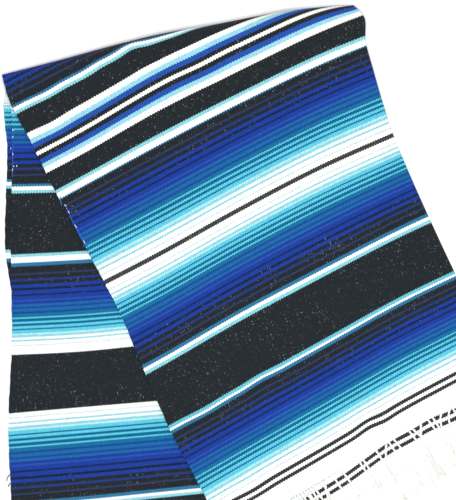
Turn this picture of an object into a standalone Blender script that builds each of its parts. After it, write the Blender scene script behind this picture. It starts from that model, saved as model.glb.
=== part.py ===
"""A Mexican serape blanket that lies folded on a flat surface.

The cloth is folded once lengthwise, into two plies with the fold on the right, and then
once crosswise. The crosswise fold is a soft raised roll at the top. The top half turns
away from the lower half by about 25 degrees, so the lower half shows at the left.

Drawing frame: x to the right, y towards the roll, z up from the surface, in metres.
"""

import math

import bmesh
import bpy
import numpy as np
from mathutils import Vector

# Cloth
CLOTH = 0.003  # thickness of one ply
GAP = 0.0004  # clear space between two plies that touch
PITCH = CLOTH + GAP  # from one ply's face to the next ply's same face
BEND_CLEAR = 0.0002  # more clear space between the two plies of the top half, where they bend
STACK_TOP = 4 * CLOTH + 3 * GAP + BEND_CLEAR  # top of the four plies on the surface
PAIR_TOP = 2 * CLOTH + GAP + BEND_CLEAR  # top of two plies on the surface

# Outline of the roll from above, from its left corner to its right corner
ROLL_OUTLINE = (  # x, y
    (-0.021, 0.000),
    (0.113, 0.034),
    (0.239, 0.068),
    (0.343, 0.093),
    (0.474, 0.116),
    (0.573, 0.135),
    (0.665, 0.150),
    (0.789, 0.161),
)
# Height of the roll's crest along it
ROLL_HEIGHT = (  # share of the width, height
    (0.00, 0.030),
    (0.20, 0.038),
    (0.55, 0.050),
    (0.82, 0.054),
    (0.92, 0.040),
    (1.00, 0.020),
)
ROLL_FLAP = 0.010  # the roll's underside, flat on the surface
FLAP_CLEAR = 3 * GAP  # from that flat underside to the bottom ply behind it
ROLL_SLOPE = 0.170  # from the crest down to the height of the plain stack
BOW_FADE = 0.35  # share of a half's length over which the roll's curve fades

# Edges of the top half, from the roll to its fringed end
TOP_LEFT_EDGE = (  # x, y
    (-0.021, 0.000),
    (0.000, -0.067),
    (0.037, -0.137),
    (0.101, -0.267),
    (0.173, -0.400),
    (0.248, -0.543),
    (0.308, -0.685),
    (0.366, -0.817),
    (0.449, -0.975),
    (0.490, -1.060),
)
TOP_RIGHT_EDGE = (  # x, y
    (0.789, 0.161),
    (0.812, 0.136),
    (0.817, 0.076),
    (0.834, 0.012),
    (0.856, -0.064),
    (0.881, -0.140),
    (0.911, -0.212),
    (0.959, -0.320),
    (1.021, -0.453),
    (1.141, -0.692),
)
TOP_WIDTH = 0.748  # from the selvedges to the lengthwise fold
SECOND_OVERHANG = 0.072  # how far the second ply reaches past the top ply's end

# Edges of the lower half, from the roll to its fringed end
LOWER_LEFT_EDGE = (  # x, y
    (-0.021, 0.000),
    (-0.008, -0.045),
    (0.004, -0.170),
    (0.000, -0.280),
    (-0.001, -0.430),
    (0.001, -0.620),
    (-0.006, -0.775),
    (-0.006, -0.860),
    (0.000, -0.980),
    (0.000, -1.109),
)
LOWER_RIGHT_EDGE = (  # x, y
    (0.789, 0.161),
    (0.776, -0.100),
    (0.760, -0.500),
    (0.745, -1.037),
)
BOTTOM_LEFT_EDGE = (  # x, y
    (-0.021, 0.000),
    (-0.020, -0.060),
    (-0.010, -0.170),
    (-0.013, -0.280),
    (-0.014, -0.410),
    (0.000, -0.500),
    (0.002, -0.775),
    (0.003, -1.109),
)
BOTTOM_OVERHANG = 0.018  # how far the bottom ply reaches past the ply on it
LOWER_START = 0.060  # the lower panel begins this far in from the roll's front

# Where the top half comes off the lower half's right edge and sinks to the surface
RAMP_START = 0.035
RAMP_WIDTH = 0.160

# Soft ridges in the top half's two plies
RIDGES = (  # x and y of the middle, bearing in degrees, length, width, height
    (0.790, -0.600, -66, 0.30, 0.090, 0.0040),
    (0.300, -0.300, 29, 0.46, 0.080, 0.0030),
    (0.640, -0.330, 31, 0.38, 0.075, 0.0025),
    (0.700, -0.020, 24, 0.24, 0.070, 0.0035),
)

# Rows across the cloth, by distance from the roll's crest
NEAR_ROWS = (0.0, 0.012, 0.026, 0.040, 0.047, 0.068, 0.095, 0.125, 0.155, 0.185)
SECOND_FIRST_ROW = 4  # the second ply begins at this near row
CORE_LAST_ROW = 7  # the core ends at this near row
FAR_ROWS = 17
ROLL_ROWS = 9  # from under the roll, round its front, up to the crest
OVERHANG_ROWS = (0.35, 1.0)  # shares of the second ply's overhang
COLUMNS = 20
CORE_CLEAR = 0.0008  # more clear space over the core, where the plies bend
CORE_COLUMNS = (1, 17)  # first and last column of the core
CORE_END_ROUND = 0.006  # the core's rounded ends stand out by this much
CORE_END_SCALE = 0.80  # size of a rounded end beside the section next to it
EDGE_INSET = 0.008  # the last flat column lies this far in from the lengthwise fold
SECOND_EDGE_REACH = 0.02  # how far the second ply goes on into the fold, of one column's width
LOWER_ROWS = 22
LOWER_COLUMNS = 12
TURN_DOWN = (  # inset from the edge where it is turned down, inset where it is flat, share of the way down
    (0.0026, 0.0052, 0.06),
    (0.0, 0.0026, 0.45),
    (0.0, 0.0, 1.0),
)
TURN_CLEAR = 0.0003  # the turned edge ends this far above the surface

# Fringes
CLUSTERS = 16  # pairs of strands along one end
STRAND = 0.0024  # width and height of a strand
STRAND_ROOT = 0.005  # a strand's root from the middle of its pair
STRAND_SPREAD = 0.009  # how far a strand's tip moves to the side, apart from its neighbour
STRAND_CROSSING = -0.0027  # the same in every other pair, whose strands lean together
STRAND_SECTIONS = (0.5, 1.0)  # shares of a strand's length where its sections lie
STRAND_JITTER = 0.007  # how much longer or shorter a strand is
STRAND_UNEVEN = 510.0  # how quickly the strands' lengths change along an end
STRAND_TAPER = 0.0002  # a strand is lower than its strip by this much on each side
FRINGE_LENGTH = 0.128
STRIP_DEPTH = 0.005
STRIP_HEIGHT = 0.0026
FLOOR_CLEAR = 0.0003
UPPER_LEVEL = PITCH + 0.0003  # a fringe that lies on a ply, above that ply's underside

# Colours
DEEP_BLUE = (0.030, 0.085, 0.330)
TEAL = (0.040, 0.280, 0.480)
BLACK_YARN = (0.035, 0.038, 0.043)
WHITE_YARN = (0.900, 0.910, 0.900)
CLOTH_ROUGHNESS = 0.95


def spline_point(points, share):
    """The point at a share of the length of a smooth curve through points, on in a line past its ends."""
    xy = np.array(points, float)
    knots = np.concatenate([[0], np.cumsum(np.linalg.norm(np.diff(xy, axis=0), axis=1))])
    place = share * knots[-1]
    if place >= knots[-1]:
        way = (xy[-1] - xy[-2]) / np.linalg.norm(xy[-1] - xy[-2])
        return xy[-1] + way * (place - knots[-1])
    k = int(np.clip(np.searchsorted(knots, place, side="right") - 1, 0, len(xy) - 2))
    slopes = np.gradient(xy, knots, axis=0)
    span = knots[k + 1] - knots[k]
    t = (place - knots[k]) / span
    return (
        (2 * t**3 - 3 * t**2 + 1) * xy[k]
        + (t**3 - 2 * t**2 + t) * span * slopes[k]
        + (3 * t**2 - 2 * t**3) * xy[k + 1]
        + (t**3 - t**2) * span * slopes[k + 1]
    )


def length_of(points):
    """Length of the line through points."""
    return float(np.linalg.norm(np.diff(np.array(points), axis=0), axis=1).sum())


def smooth(value):
    """0 below 0, 1 above 1 and a soft step between."""
    t = min(1.0, max(0.0, value))
    return t * t * (3 - 2 * t)


def bow(u):
    """How far the roll's front stands out from the straight line between its corners."""
    ends = np.array([ROLL_OUTLINE[0], ROLL_OUTLINE[-1]], float)
    return spline_point(ROLL_OUTLINE, u) - (ends[0] * (1 - u) + ends[1] * u)


def plan(left, right, u, share):
    """Plan position in one half: u across it from left to right, share from the roll's front to its end."""
    across = spline_point(left, share) * (1 - u) + spline_point(right, share) * u
    return across + bow(u) * (1 - smooth(share / BOW_FADE))


def top_length(u):
    """Length of the top half from the roll's front to its end, at u across it."""
    return length_of(TOP_LEFT_EDGE) * (1 - u) + length_of(TOP_RIGHT_EDGE) * u


def crest(u):
    """Height of the roll's crest."""
    table = np.array(ROLL_HEIGHT)
    return float(np.interp(u, table[:, 0], table[:, 1]))


def ramp(point):
    """0 where the top half lies on the lower half, 1 where it lies on the surface."""
    edge = np.array(LOWER_RIGHT_EDGE)
    edge_x = np.interp(-point[1], -edge[:, 1], edge[:, 0])
    return smooth((point[0] - edge_x - RAMP_START) / RAMP_WIDTH)


def ridge_height(point):
    """Height that the soft ridges add at a plan position."""
    total = 0.0
    for x, y, bearing, length, width, height in RIDGES:
        way = np.array([math.cos(math.radians(bearing)), math.sin(math.radians(bearing))])
        off = point - np.array([x, y])
        along = abs(off @ way) / (length / 2)
        aside = abs(off @ np.array([-way[1], way[0]])) / (width / 2)
        total += height * (1 - smooth(along)) * (1 - smooth(aside))
    return total


def top_face(u, distance):
    """Point on the top ply's upper face, at a distance in from the roll's crest."""
    share = (crest(u) / 2 + distance) / top_length(u)
    point = plan(TOP_LEFT_EDGE, TOP_RIGHT_EDGE, u, share)
    stack = STACK_TOP + (PAIR_TOP - STACK_TOP) * ramp(point)
    rise = 0.5 * (1 + math.cos(math.pi * min(1.0, distance / ROLL_SLOPE)))
    height = stack + (crest(u) - stack) * rise + ridge_height(point) * (1 - rise)
    return np.array([point[0], point[1], height])


def roll_face(u, angle):
    """Point on the roll's outer face: angle 90 is the crest, 0 the front and -90 the underside."""
    radius = crest(u) / 2
    inward = radius * (1 - math.cos(math.radians(angle)))
    point = plan(TOP_LEFT_EDGE, TOP_RIGHT_EDGE, u, inward / top_length(u))
    return np.array([point[0], point[1], radius * (1 + math.sin(math.radians(angle)))])


def outer_rows():
    """Rows of the outer ply, each a function of u, and the row numbers of the crest and the end."""
    rows = []

    def flap(u):
        point = plan(TOP_LEFT_EDGE, TOP_RIGHT_EDGE, u, (crest(u) / 2 + ROLL_FLAP) / top_length(u))
        return np.array([point[0], point[1], 0.0])

    rows.append(flap)
    for k in range(ROLL_ROWS):
        rows.append(lambda u, angle=-90 + 180 * k / ROLL_ROWS: roll_face(u, angle))
    crest_row = len(rows)
    for distance in NEAR_ROWS:
        rows.append(lambda u, d=distance: top_face(u, d))
    for k in range(1, FAR_ROWS + 1):

        def far(u, part=k / FAR_ROWS):
            rest = top_length(u) - crest(u) / 2 - NEAR_ROWS[-1]
            return top_face(u, NEAR_ROWS[-1] + rest * part)

        rows.append(far)
    end_row = len(rows) - 1
    for share in OVERHANG_ROWS:

        def past(u, extra=SECOND_OVERHANG * share):
            return top_face(u, top_length(u) - crest(u) / 2 + extra)

        rows.append(past)
    return rows, crest_row, end_row


def turned_down(points, row, crest_row):
    """The points of a row with the lengthwise fold turned down to the surface at its right end."""
    edge = points[-1]
    inward = (points[-2] - points[-1])[:2]
    inward = inward / np.linalg.norm(inward)
    lift = 1.0
    if row < crest_row:
        angle = -90 + 180 * (row - 1) / ROLL_ROWS
        lift = math.sin(math.radians(max(0.0, angle))) ** 2
    turned = []
    for turned_inset, flat_inset, down in TURN_DOWN:
        place = edge[:2] + inward * (turned_inset * lift + flat_inset * (1 - lift))
        low = TURN_CLEAR + (edge[2] - TURN_CLEAR) * (1 - down * lift)
        turned.append(np.array([place[0], place[1], low]))
    return np.vstack([points[:-1], turned])


def grid_normals(points):
    """Outward normal at each point of a grid whose rows run from the roll to the end."""
    down = np.gradient(points, axis=0)
    across = np.gradient(points, axis=1)
    normal = np.cross(down, across)
    return normal / np.linalg.norm(normal, axis=2, keepdims=True)


def make_material(name, colour):
    """A rough woven yarn of one colour."""
    material = bpy.data.materials.new(name)
    material.use_nodes = True
    shader = material.node_tree.nodes["Principled BSDF"]
    shader.inputs["Base Color"].default_value = (*colour, 1.0)
    shader.inputs["Roughness"].default_value = CLOTH_ROUGHNESS
    shader.inputs["Metallic"].default_value = 0.0
    material.diffuse_color = (*colour, 1.0)
    return material


def add_object(name, mesh_maker, material, collection, root):
    """A new object whose mesh comes from a bmesh."""
    mesh = bpy.data.meshes.new(name)
    mesh_maker.to_mesh(mesh)
    mesh_maker.free()
    mesh.materials.append(material)
    thing = bpy.data.objects.new(name, mesh)
    collection.objects.link(thing)
    thing.parent = root
    return thing


def cloth_wall(name, points, material, collection, root):
    """A ply: a grid of points on its outer face, with the wall's thickness behind them."""
    rows, columns = points.shape[:2]
    maker = bmesh.new()
    bmesh.ops.create_grid(maker, x_segments=columns - 1, y_segments=rows - 1, size=1.0)
    for vertex in maker.verts:
        column = round((vertex.co.x + 1) / 2 * (columns - 1))
        row = round((1 - vertex.co.y) / 2 * (rows - 1))
        vertex.co = Vector(points[row, column])
    thing = add_object(name, maker, material, collection, root)
    wall = thing.modifiers.new("wall", "SOLIDIFY")
    wall.thickness = CLOTH
    wall.offset = -1.0
    wall.use_even_offset = True
    thing.data.shade_smooth()
    return thing


def fold_core(points, normals, crest_row, material, collection, root):
    """The hidden bend of the inner plies: one rounded solid that fills the roll."""
    step_row = crest_row + SECOND_FIRST_ROW
    end_row = crest_row + CORE_LAST_ROW
    rings = []
    for column in range(CORE_COLUMNS[0], CORE_COLUMNS[1] + 1):
        ring = []
        for row in range(1, end_row + 1):
            depth = CORE_CLEAR + (PITCH if row < step_row else 2 * PITCH)
            ring.append(points[row, column] - normals[row, column] * depth)
        for row in range(end_row, step_row - 2, -1):
            ring.append(np.array([*points[row, column, :2], 2 * PITCH]))
        ring.append(np.array([*points[step_row - 2, column, :2], PITCH]))
        rings.append(np.array(ring))
    for place, beside in ((0, 1), (-1, -2)):
        ring = rings[place]
        away = (ring - rings[beside]).mean(axis=0)
        away = away / np.linalg.norm(away) * CORE_END_ROUND
        middle = ring.mean(axis=0)
        cap = middle + (ring - middle) * CORE_END_SCALE + away
        rings.insert(0 if place == 0 else len(rings), cap)
    maker = bmesh.new()
    made = [[maker.verts.new(Vector(point)) for point in ring] for ring in rings]
    count = len(made[0])
    for ring, following in zip(made, made[1:]):
        for k in range(count):
            after = (k + 1) % count
            maker.faces.new((ring[k], ring[after], following[after], following[k]))
    maker.faces.new(made[0])
    maker.faces.new(list(reversed(made[-1])))
    bmesh.ops.recalc_face_normals(maker, faces=maker.faces)
    return add_object("fold_core", maker, material, collection, root)


def fringe(name, left, right, support, material, collection, root):
    """A strip along a ply's end, from left to right, and the pairs of strands that grow from it."""
    width = np.linalg.norm(right - left)
    way = (right - left) / width
    out = np.array([way[1], -way[0]])
    roots = []
    for k in range(CLUSTERS):
        middle = (k + 0.5) / CLUSTERS * width
        spread = STRAND_SPREAD if k % 2 == 0 else STRAND_CROSSING
        roots.append((middle - STRAND_ROOT, -spread))
        roots.append((middle + STRAND_ROOT, spread))
    sides = [place for root_at, _ in roots for place in (root_at - STRAND / 2, root_at + STRAND / 2)]

    def corner(along, outward, up):
        place = left + way * along + out * outward
        return Vector((place[0], place[1], support(place) + up))

    maker = bmesh.new()
    face_out = GAP + STRIP_DEPTH
    section = ((GAP, 0.0), (face_out, 0.0), (face_out, STRIP_HEIGHT), (GAP, STRIP_HEIGHT))
    rings = []
    for along in [0.0, *sides, width]:
        rings.append([maker.verts.new(corner(along, outward, up)) for outward, up in section])
    strand_roots = []
    for index, (ring, following) in enumerate(zip(rings, rings[1:])):
        for side in range(4):
            after = (side + 1) % 4
            face = maker.faces.new((ring[side], following[side], following[after], ring[after]))
            if side == 1 and index % 2 == 1:
                strand_roots.append(face)
    maker.faces.new(rings[0])
    maker.faces.new(list(reversed(rings[-1])))
    for face, (root_at, spread) in zip(strand_roots, roots):
        length = FRINGE_LENGTH - STRIP_DEPTH + STRAND_JITTER * math.sin(STRAND_UNEVEN * root_at)
        for part in STRAND_SECTIONS:
            face = bmesh.ops.extrude_discrete_faces(maker, faces=[face])["faces"][0]
            low, high = STRAND_TAPER, STRIP_HEIGHT - STRAND_TAPER
            half = STRAND / 2
            corners = ((-half, low), (half, low), (half, high), (-half, high))
            for vertex, (aside, up) in zip(face.verts, corners):
                vertex.co = corner(root_at + spread * part + aside, face_out + length * part, up)
    bmesh.ops.recalc_face_normals(maker, faces=maker.faces)
    return add_object(name, maker, material, collection, root)


def lower_grid(left_edge, start, overhang, level):
    """Points on the upper face of a flat ply of the lower half; start is how far in its first row lies."""
    longest = length_of(LOWER_LEFT_EDGE)
    rows = np.linspace(0.0, 1.0, LOWER_ROWS)
    grid = []
    for part in rows:
        row = []
        for u in np.linspace(0.0, 1.0, LOWER_COLUMNS):
            begin = start(u) / longest
            share = begin + (1 + overhang / longest - begin) * part
            row.append([*plan(left_edge, LOWER_RIGHT_EDGE, u, share), level])
        grid.append(row)
    return np.array(grid)


def build():
    """Model the blanket with its middle over the origin and its underside at height 0."""
    for thing in list(bpy.data.objects):
        bpy.data.objects.remove(thing, do_unlink=True)
    collection = bpy.data.collections.new("mexican_serape")
    bpy.context.scene.collection.children.link(collection)
    root = bpy.data.objects.new("serape_root", None)
    collection.objects.link(root)
    blue = make_material("deep_blue_cloth", DEEP_BLUE)
    teal = make_material("teal_cloth", TEAL)
    black = make_material("black_cloth", BLACK_YARN)
    white = make_material("white_yarn", WHITE_YARN)

    # The top half: the outer ply with the roll, and the ply under it
    rows, crest_row, end_row = outer_rows()
    across = [u * (1 - EDGE_INSET / TOP_WIDTH) for u in np.linspace(0, 1, COLUMNS)] + [1.0]
    points = np.array([[row(u) for u in across] for row in rows])
    normals = grid_normals(points)
    outer = [turned_down(points[row], row, crest_row) for row in range(end_row + 1)]
    cloth_wall("upper_panel", np.array(outer), blue, collection, root)
    first = crest_row + SECOND_FIRST_ROW
    under = points[first:, :-1] - normals[first:, :-1] * (PITCH + BEND_CLEAR)
    under[:, -1] += (under[:, -1] - under[:, -2]) * SECOND_EDGE_REACH
    cloth_wall("second_ply", under, teal, collection, root)
    fold_core(points, normals, crest_row, black, collection, root)

    # The lower half: the ply that shows and the bottom ply
    lower = lower_grid(LOWER_LEFT_EDGE, lambda u: LOWER_START, 0.0, PITCH + CLOTH)
    cloth_wall("lower_panel", lower, teal, collection, root)
    bottom = lower_grid(
        BOTTOM_LEFT_EDGE, lambda u: crest(u) / 2 + ROLL_FLAP + FLAP_CLEAR, BOTTOM_OVERHANG, CLOTH
    )
    cloth_wall("bottom_ply", bottom, black, collection, root)

    # The four fringed ends
    def on_top_half(level):
        return lambda place: 2 * PITCH * (1 - ramp(place)) + level

    end = points[end_row]
    fringe("upper_fringe", end[0, :2], end[-1, :2], on_top_half(UPPER_LEVEL), white, collection, root)
    end = under[-1]
    fringe("second_fringe", end[0, :2], end[-1, :2], on_top_half(FLOOR_CLEAR), white, collection, root)
    end = lower[-1]
    fringe("lower_fringe", end[0, :2], end[-1, :2], lambda place: PITCH, white, collection, root)
    end = bottom[-1]
    fringe("bottom_fringe", end[0, :2], end[-1, :2], lambda place: FLOOR_CLEAR, white, collection, root)

    bpy.context.view_layer.update()
    corners = []
    for thing in collection.objects:
        if thing.type == "MESH":
            solid = thing.evaluated_get(bpy.context.evaluated_depsgraph_get())
            corners += [list(corner) for corner in solid.bound_box]
    low, high = np.min(corners, axis=0), np.max(corners, axis=0)
    root.location = (-(low[0] + high[0]) / 2, -(low[1] + high[1]) / 2, -low[2])


build()
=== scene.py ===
"""A Mexican serape blanket, folded and lying on a pale floor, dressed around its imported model.

The cloth is one length, folded lengthwise (the fold is on the right) and then crosswise over a
soft roll. Here it is two continuous sheets. The outer one is the top ply, the face of the roll
and the bottom ply. The inner one is the second ply, the bend inside the roll and the lower panel.
Each point of the cloth knows its own place in the weave, so the stripes follow the folds.

Drawing frame: x to the right, y towards the roll, z up from the surface, in metres.
A chart of the stripes is in pixels of the photograph, each 2.3 mm of cloth.
"""

import math

import bpy
import numpy as np
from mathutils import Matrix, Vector


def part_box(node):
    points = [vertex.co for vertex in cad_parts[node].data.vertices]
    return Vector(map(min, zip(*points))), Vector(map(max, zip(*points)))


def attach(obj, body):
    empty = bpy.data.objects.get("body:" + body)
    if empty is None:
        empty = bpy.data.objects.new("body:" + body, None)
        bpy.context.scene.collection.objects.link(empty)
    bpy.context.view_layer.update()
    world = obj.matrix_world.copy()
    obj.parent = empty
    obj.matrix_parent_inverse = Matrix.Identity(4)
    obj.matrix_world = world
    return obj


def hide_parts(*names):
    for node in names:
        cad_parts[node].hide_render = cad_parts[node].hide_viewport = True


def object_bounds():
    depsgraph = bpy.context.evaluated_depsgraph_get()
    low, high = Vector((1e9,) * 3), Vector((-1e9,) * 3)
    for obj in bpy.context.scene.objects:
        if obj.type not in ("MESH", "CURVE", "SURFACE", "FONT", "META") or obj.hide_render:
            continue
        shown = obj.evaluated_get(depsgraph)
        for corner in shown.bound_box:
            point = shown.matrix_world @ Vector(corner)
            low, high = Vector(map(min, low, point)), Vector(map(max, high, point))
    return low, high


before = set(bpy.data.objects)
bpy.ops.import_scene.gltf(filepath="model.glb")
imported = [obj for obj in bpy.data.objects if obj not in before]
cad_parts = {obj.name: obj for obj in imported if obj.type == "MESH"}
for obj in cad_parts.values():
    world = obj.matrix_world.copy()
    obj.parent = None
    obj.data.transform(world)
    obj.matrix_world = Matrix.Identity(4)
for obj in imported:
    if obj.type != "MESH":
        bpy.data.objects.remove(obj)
cad_low, cad_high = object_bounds()

# Scale of the photograph
PIXEL = 0.0023  # metres of cloth for each pixel
PHOTO_LEFT = 11.0  # the photograph's column at drawing x = 0
PHOTO_TOP = 75.0  # the photograph's row at drawing y = 0
PHOTO_WIDTH = 456.0
PHOTO_HEIGHT = 500.0

# Cloth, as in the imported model
CLOTH = 0.003  # thickness of one ply
GAP = 0.0004  # clear space between two plies that touch
PITCH = CLOTH + GAP
BEND_CLEAR = 0.0002  # more clear space between the top half's plies
STACK_TOP = 4 * CLOTH + 3 * GAP + BEND_CLEAR
PAIR_TOP = 2 * CLOTH + GAP + BEND_CLEAR
FOLD_RADIUS = PAIR_TOP / 2  # outer radius of the lengthwise fold
CLOTH_WIDTH = 0.748  # from the selvedges to the lengthwise fold
SECOND_OVERHANG = 0.072  # how far the second ply reaches past the top ply's end
BOTTOM_OVERHANG = 0.018  # how far the bottom ply reaches past the ply on it
LOWER_START = 0.060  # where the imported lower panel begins, from the roll's front

# Outline of the roll from above, and the height of its crest
ROLL_OUTLINE = (  # x, y
    (-0.021, 0.000), (0.113, 0.034), (0.239, 0.068), (0.343, 0.093),
    (0.474, 0.116), (0.573, 0.135), (0.665, 0.150), (0.789, 0.161),
)
ROLL_HEIGHT = (  # share of the width, height
    (0.00, 0.030), (0.20, 0.038), (0.55, 0.050), (0.82, 0.054), (0.92, 0.040), (1.00, 0.020),
)
ROLL_SLOPE = 0.170  # from the crest down to the height of the plain stack
BOW_FADE = 0.35  # share of a half's length over which the roll's curve fades

# Edges of the halves, from the roll to the fringed ends
TOP_LEFT_EDGE = (  # x, y
    (-0.021, 0.000), (0.000, -0.067), (0.037, -0.137), (0.101, -0.267), (0.173, -0.400),
    (0.248, -0.543), (0.308, -0.685), (0.366, -0.817), (0.449, -0.975), (0.490, -1.060),
)
TOP_RIGHT_EDGE = (  # x, y
    (0.789, 0.161), (0.812, 0.136), (0.817, 0.076), (0.834, 0.012), (0.856, -0.064),
    (0.881, -0.140), (0.911, -0.212), (0.959, -0.320), (1.021, -0.453), (1.141, -0.692),
)
LOWER_LEFT_EDGE = (  # x, y
    (-0.021, 0.000), (-0.008, -0.045), (0.004, -0.170), (0.000, -0.280), (-0.001, -0.430),
    (0.001, -0.620), (-0.006, -0.775), (-0.006, -0.860), (0.000, -0.980), (0.000, -1.109),
)
BOTTOM_LEFT_EDGE = (  # x, y
    (-0.021, 0.000), (-0.020, -0.060), (-0.010, -0.170), (-0.013, -0.280),
    (-0.014, -0.410), (0.000, -0.500), (0.002, -0.775), (0.003, -1.109),
)
LOWER_RIGHT_EDGE = (  # x, y
    (0.789, 0.161), (0.776, -0.100), (0.760, -0.500), (0.745, -1.037),
)
RAMP_START = 0.035  # where the top half comes off the lower half's right edge
RAMP_WIDTH = 0.160
SELVEDGE_WAVE = 0.0008  # how far the selvedge weaves in and out
SELVEDGE_WAVELENGTH = 0.026
SELVEDGE_SLOWER = 0.37  # rate of a second, slower wave against the first
SELVEDGE_REACH = 0.012  # how far into the cloth the wave is felt
HALVES_BLEND = 0.060  # under the roll, from the top half's place to the lower half's

# Soft ridges and creases in the top half's two plies
RIDGES = (  # x and y of the middle, bearing in degrees, length, width, height
    (0.790, -0.600, -66, 0.30, 0.090, 0.0040),
    (0.300, -0.300, 29, 0.46, 0.080, 0.0030),
    (0.640, -0.330, 31, 0.38, 0.075, 0.0025),
    (0.700, -0.020, 24, 0.24, 0.070, 0.0035),
)

# Where a stripe lies: pixels along the cloth from its end, then the photograph's row of that
# stripe at each of the station columns
STATION_COLUMNS = (0, 80, 160, 240, 320, 400, 480)
TOP_STATIONS = (
    (0.0, 671.0, 624.0, 576.5, 529.0, 482.5, 435.5, 392.0),
    (25.6, 643.5, 596.5, 549.0, 501.5, 455.2, 408.3, 365.4),
    (125.5, 521.5, 478.5, 435.5, 391.0, 346.3, 302.0, 263.5),
    (191.0, 448.3, 404.8, 361.8, 315.6, 273.2, 232.0, 196.0),
    (287.0, 337.0, 295.5, 254.1, 209.6, 168.0, 132.5, 97.5),
    (383.0, 227.5, 184.0, 140.5, 99.4, 61.3, 28.0, -8.0),
    (411.2, 194.0, 152.4, 107.0, 68.1, 30.4, -2.5, -36.5),
    (430.0, 173.7, 130.9, 85.0, 46.2, 11.2, -9.0, -43.0),
    (448.3, 152.2, 109.7, 64.3, 27.0, -7.5, -28.0, -58.0),
    (476.5, 118.3, 77.2, 39.3, 9.4, -23.0, -54.0, -87.0),
)
TOP_SPACING = -1.117  # rows of the photograph for each pixel of cloth, past the last station
LOWER_STATIONS = (
    (572.6, 96.5, 95.2, 93.9, 92.6, 91.3, 90.0, 88.7),
    (665.0, 188.5, 186.5, 182.5, 179.5, 176.5, 173.5, 170.5),
    (741.8, 267.4, 263.0, 257.3, 251.7, 246.0, 240.5, 235.0),
    (829.8, 355.6, 351.6, 343.8, 337.5, 332.0, 326.0, 320.0),
    (886.8, 414.4, 407.4, 400.7, 393.7, 387.2, 380.7, 374.2),
    (976.8, 503.3, 497.0, 489.0, 480.8, 472.5, 464.0, 456.0),
    (1033.6, 561.0, 554.0, 546.0, 538.0, 530.0, 522.0, 514.0),
)
LOWER_SPACING = 1.0
WANDER = (  # x and y in the photograph, half length, half width, how far down a stripe strays there
    (126.0, 49.0, 34.0, 16.0, -3.6),
    (46.0, 94.0, 26.0, 9.0, 1.2),
    (100.0, 65.0, 24.0, 9.0, -1.9),
    (132.0, 45.0, 18.0, 9.0, -1.8),
    (170.0, 31.0, 32.0, 9.0, 2.3),
    (205.0, 409.0, 30.0, 14.0, 1.2),
    (262.0, 381.0, 26.0, 14.0, -1.4),
    (200.0, 66.0, 36.0, 14.0, 1.2),
    (52.0, 122.0, 26.0, 12.0, 1.5),
    (368.0, 425.0, 20.0, 12.0, -1.8),
    (254.0, 490.0, 26.0, 12.0, 1.3),
    (386.0, 424.0, 18.0, 12.0, 1.0),
)
SECOND_SHIFT = (  # photograph's column, the second ply's stripes against the top ply's, in pixels
    (320.0, 38.0), (345.0, 37.2), (360.0, 35.6), (372.0, 34.2), (384.0, 32.8), (396.0, 32.4),
    (405.0, 33.0), (414.0, 33.2), (426.0, 32.2), (436.0, 32.6), (444.0, 34.0), (454.0, 34.9),
)
BOTTOM_SHIFT = 5.0  # the bottom ply's stripes against the lower panel's, in pixels
CLOTH_PIXELS = 1033.6  # the cloth's whole length

# Grid of a sheet
FAR_ROWS = 164  # in the top half
ROLL_ROWS = 26
UNDER_ROWS = 158  # in the lower half
COLUMNS = 104
EDGE_STEPS = (0.0, 0.00015, 0.0005, 0.0010, 0.0015)  # insets of the rounded edge's rows and columns
CURL_COLUMNS = 9  # round the lengthwise fold
RIM_INSET = 1e-9  # points nearer to an edge than this are its rim
FAR_INSET = 1.0  # stands for any distance past the rounded edge


def hermite(t, span, start, start_slope, end, end_slope):
    """A smooth curve at t, from 0 at its start to 1 at its end."""
    return (
        (2 * t**3 - 3 * t**2 + 1) * start
        + (t**3 - 2 * t**2 + t) * span * start_slope
        + (3 * t**2 - 2 * t**3) * end
        + (t**3 - t**2) * span * end_slope
    )


def spline_point(points, share):
    """Points at shares of the length of a smooth curve, on in a straight line past its ends."""
    xy = np.array(points, float)
    knots = np.concatenate([[0], np.cumsum(np.linalg.norm(np.diff(xy, axis=0), axis=1))])
    slopes = np.gradient(xy, knots, axis=0)
    place = np.asarray(share, float) * knots[-1]
    k = np.clip(np.searchsorted(knots, place, side="right") - 1, 0, len(xy) - 2)
    span = (knots[k + 1] - knots[k])[..., None]
    t = np.clip((place - knots[k])[..., None] / span, 0, 1)
    curve = hermite(t, span, xy[k], slopes[k], xy[k + 1], slopes[k + 1])
    first_way = (xy[1] - xy[0]) / (knots[1] - knots[0])
    last_way = (xy[-1] - xy[-2]) / (knots[-1] - knots[-2])
    before = np.minimum(place, 0)[..., None]
    past = np.maximum(place - knots[-1], 0)[..., None]
    return curve + first_way * before + last_way * past


def length_of(points):
    """Length of the line through points."""
    return float(np.linalg.norm(np.diff(np.array(points), axis=0), axis=1).sum())


def smooth(value):
    """0 below 0, 1 above 1 and a soft step between."""
    t = np.clip(value, 0, 1)
    return t * t * (3 - 2 * t)


def plan(left, right, u, share):
    """Plan position in one half: u across it from left to right, share from the roll's front to its end."""
    ends = np.array([ROLL_OUTLINE[0], ROLL_OUTLINE[-1]], float)
    beside = u[..., None]
    bow = spline_point(ROLL_OUTLINE, u) - (ends[0] * (1 - beside) + ends[1] * beside)
    left_point, right_point = spline_point(left, share), spline_point(right, share)
    across = left_point * (1 - beside) + right_point * beside
    turn = share * length_of(left) / SELVEDGE_WAVELENGTH * 2 * math.pi
    fade = np.exp(-u * CLOTH_WIDTH / SELVEDGE_REACH)
    swing = SELVEDGE_WAVE * (np.sin(turn) + np.sin(turn * SELVEDGE_SLOWER)) / 2 * fade
    inward = right_point - left_point
    inward = inward / np.linalg.norm(inward, axis=-1, keepdims=True)
    return across + inward * swing[..., None] + bow * (1 - smooth(share / BOW_FADE))[..., None]


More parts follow.
